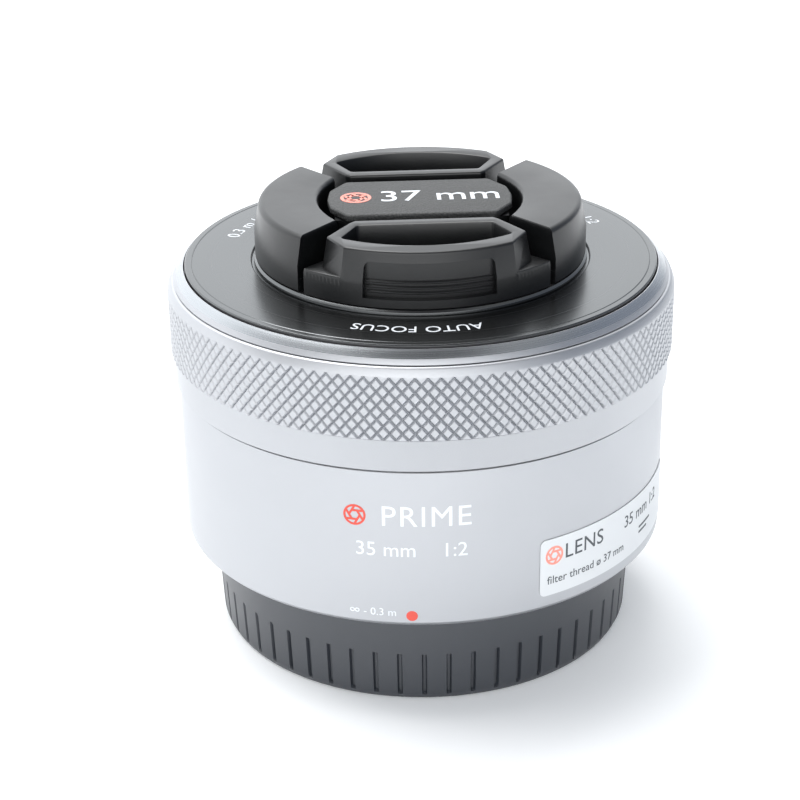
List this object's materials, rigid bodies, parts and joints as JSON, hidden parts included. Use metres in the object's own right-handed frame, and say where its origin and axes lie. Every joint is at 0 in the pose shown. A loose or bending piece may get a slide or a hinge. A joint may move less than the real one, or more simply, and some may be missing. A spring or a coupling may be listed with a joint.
{
  "type": "prime camera lens",
  "caption": "Compact silver autofocus prime lens with knurled focus ring, bayonet mount, working iris, pinch front cap and rear cap.",
  "frame": {"origin": "centre of the rear cap's underside, which the lens stands on", "axes": "+Z along the optical axis towards the front element; -Y is the side with the mount index dot"},
  "size_m": [0.061, 0.061, 0.054],
  "materials": {
    "rear_cap": "fine moulded texture",
    "front_cap": "fine moulded texture",
    "cap_plate": "grained face",
    "silver": "bead-blasted and anodised",
    "name_ring": "satin black",
    "black_metal": "matt black",
    "chrome": "polished",
    "steel": "turned",
    "brass": "machined",
    "blade_steel": "dry black coating",
    "glass": "coated",
    "inner_plastic": "matt black",
    "white_plastic": "smooth",
    "board": "solder mask",
    "label": "printed film",
    "red_paint": "gloss dot"
  },
  "bodies": {
    "rear_cap": {"rear_cap": "rear_cap"},
    "lens_body": {"main_barrel": "silver", "mount_index_dot": "red_paint", "side_label": "label", "mount_bayonet": "chrome", "mount_screw_1": "steel", "mount_screw_2": "steel", "mount_screw_3": "steel", "mount_screw_4": "steel", "contact_block": "inner_plastic", "rear_baffle": "inner_plastic", "chassis_tube": "inner_plastic", "encoder_sensor": "inner_plastic", "slip_washer": "white_plastic", "front_bezel": "silver", "name_ring": "name_ring", "front_cell": "inner_plastic", "front_element": "glass", "element_spacer": "inner_plastic", "second_element": "glass", "front_retaining_ring": "black_metal", "aperture_base": "inner_plastic", "aperture_cover": "inner_plastic", "aperture_motor": "steel", "main_board": "board", "lens_processor": "inner_plastic", "home_sensor": "inner_plastic", "focus_motor": "steel", "guide_rod_1": "steel", "guide_rod_2": "steel", "rear_cell": "inner_plastic", "rear_element": "glass", "rear_retaining_ring": "black_metal"},
    "focus_ring": {"focus_ring": "silver", "encoder_comb": "inner_plastic"},
    "iris_ring": {"iris_ring": "blade_steel"},
    "iris_blade_1": {"iris_blade_1": "blade_steel"},
    "iris_blade_2": {"iris_blade_2": "blade_steel"},
    "iris_blade_3": {"iris_blade_3": "blade_steel"},
    "iris_blade_4": {"iris_blade_4": "blade_steel"},
    "iris_blade_5": {"iris_blade_5": "blade_steel"},
    "iris_blade_6": {"iris_blade_6": "blade_steel"},
    "iris_blade_7": {"iris_blade_7": "blade_steel"},
    "aperture_pinion": {"aperture_pinion": "brass"},
    "focus_carrier": {"focus_carrier": "inner_plastic", "focus_element_1": "glass", "focus_element_2": "glass", "carrier_nut": "brass"},
    "lead_screw": {"lead_screw": "steel"},
    "front_cap": {"cap_body": "front_cap", "cap_plate": "cap_plate"},
    "cap_grip_front": {"cap_grip_front": "front_cap", "cap_spring_front": "steel"},
    "cap_grip_rear": {"cap_grip_rear": "front_cap", "cap_spring_rear": "steel"}
  },
  "joints": [
    {"name": "lens_lift", "type": "slide", "parent": "rear_cap", "child": "lens_body", "axis": [0, 0, 1], "range_m": [0, 0.03]},
    {"name": "focus_ring_turn", "type": "hinge", "parent": "lens_body", "child": "focus_ring", "pos_m": [0, 0, 0.04], "axis": [0, 0, 1], "continuous": true},
    {"name": "iris_ring_turn", "type": "hinge", "parent": "lens_body", "child": "iris_ring", "pos_m": [0, 0, 0.0313], "axis": [0, 0, 1], "range_deg": [0, 4.6]},
    {"name": "aperture_pinion_turn", "type": "hinge", "parent": "lens_body", "child": "aperture_pinion", "pos_m": [-0.00962, 0.01667, 0.0313], "axis": [0, 0, 1], "range_deg": [-46.5, 0]},
    {"name": "focus_travel", "type": "slide", "parent": "lens_body", "child": "focus_carrier", "axis": [0, 0, 1], "range_m": [0, 0.003]},
    {"name": "lead_screw_turn", "type": "hinge", "parent": "lens_body", "child": "lead_screw", "pos_m": [0.00875, -0.01516, 0.024], "axis": [0, 0, 1], "range_deg": [0, 2161]},
    {"name": "front_cap_pull", "type": "slide", "parent": "lens_body", "child": "front_cap", "axis": [0, 0, 1], "range_m": [0, 0.025]},
    {"name": "iris_blade_1_swing", "type": "hinge", "parent": "lens_body", "child": "iris_blade_1", "pos_m": [0.013, 0, 0.0295], "axis": [0, 0, 1], "range_deg": [0, 30]},
    {"name": "iris_blade_2_swing", "type": "hinge", "parent": "lens_body", "child": "iris_blade_2", "pos_m": [0.00811, 0.01016, 0.0295], "axis": [0, 0, 1], "range_deg": [0, 30]},
    {"name": "iris_blade_3_swing", "type": "hinge", "parent": "lens_body", "child": "iris_blade_3", "pos_m": [-0.00289, 0.01267, 0.0295], "axis": [0, 0, 1], "range_deg": [0, 30]},
    {"name": "iris_blade_4_swing", "type": "hinge", "parent": "lens_body", "child": "iris_blade_4", "pos_m": [-0.01171, 0.00564, 0.0295], "axis": [0, 0, 1], "range_deg": [0, 30]},
    {"name": "iris_blade_5_swing", "type": "hinge", "parent": "lens_body", "child": "iris_blade_5", "pos_m": [-0.01171, -0.00564, 0.0295], "axis": [0, 0, 1], "range_deg": [0, 30]},
    {"name": "iris_blade_6_swing", "type": "hinge", "parent": "lens_body", "child": "iris_blade_6", "pos_m": [-0.00289, -0.01267, 0.0295], "axis": [0, 0, 1], "range_deg": [0, 30]},
    {"name": "iris_blade_7_swing", "type": "hinge", "parent": "lens_body", "child": "iris_blade_7", "pos_m": [0.00811, -0.01016, 0.0295], "axis": [0, 0, 1], "range_deg": [0, 30]},
    {"name": "cap_grip_front_press", "type": "slide", "parent": "front_cap", "child": "cap_grip_front", "axis": [-0.0558, 0.9984, 0], "range_m": [0, 0.001], "stiffness_N_per_m": 800, "springref_m": -0.0015},
    {"name": "cap_grip_rear_press", "type": "slide", "parent": "front_cap", "child": "cap_grip_rear", "axis": [0.0558, -0.9984, 0], "range_m": [0, 0.001], "stiffness_N_per_m": 800, "springref_m": -0.0015}
  ],
  "couplings": [
    {"joint": "iris_blade_1_swing", "follows": "iris_ring_turn", "ratio": 6.459},
    {"joint": "iris_blade_2_swing", "follows": "iris_ring_turn", "ratio": 6.459},
    {"joint": "iris_blade_3_swing", "follows": "iris_ring_turn", "ratio": 6.459},
    {"joint": "iris_blade_4_swing", "follows": "iris_ring_turn", "ratio": 6.459},
    {"joint": "iris_blade_5_swing", "follows": "iris_ring_turn", "ratio": 6.459},
    {"joint": "iris_blade_6_swing", "follows": "iris_ring_turn", "ratio": 6.459},
    {"joint": "iris_blade_7_swing", "follows": "iris_ring_turn", "ratio": 6.459},
    {"joint": "aperture_pinion_turn", "follows": "iris_ring_turn", "ratio": -10},
    {"joint": "lead_screw_turn", "follows": "focus_travel", "rad_per_m": 12566}
  ]
}
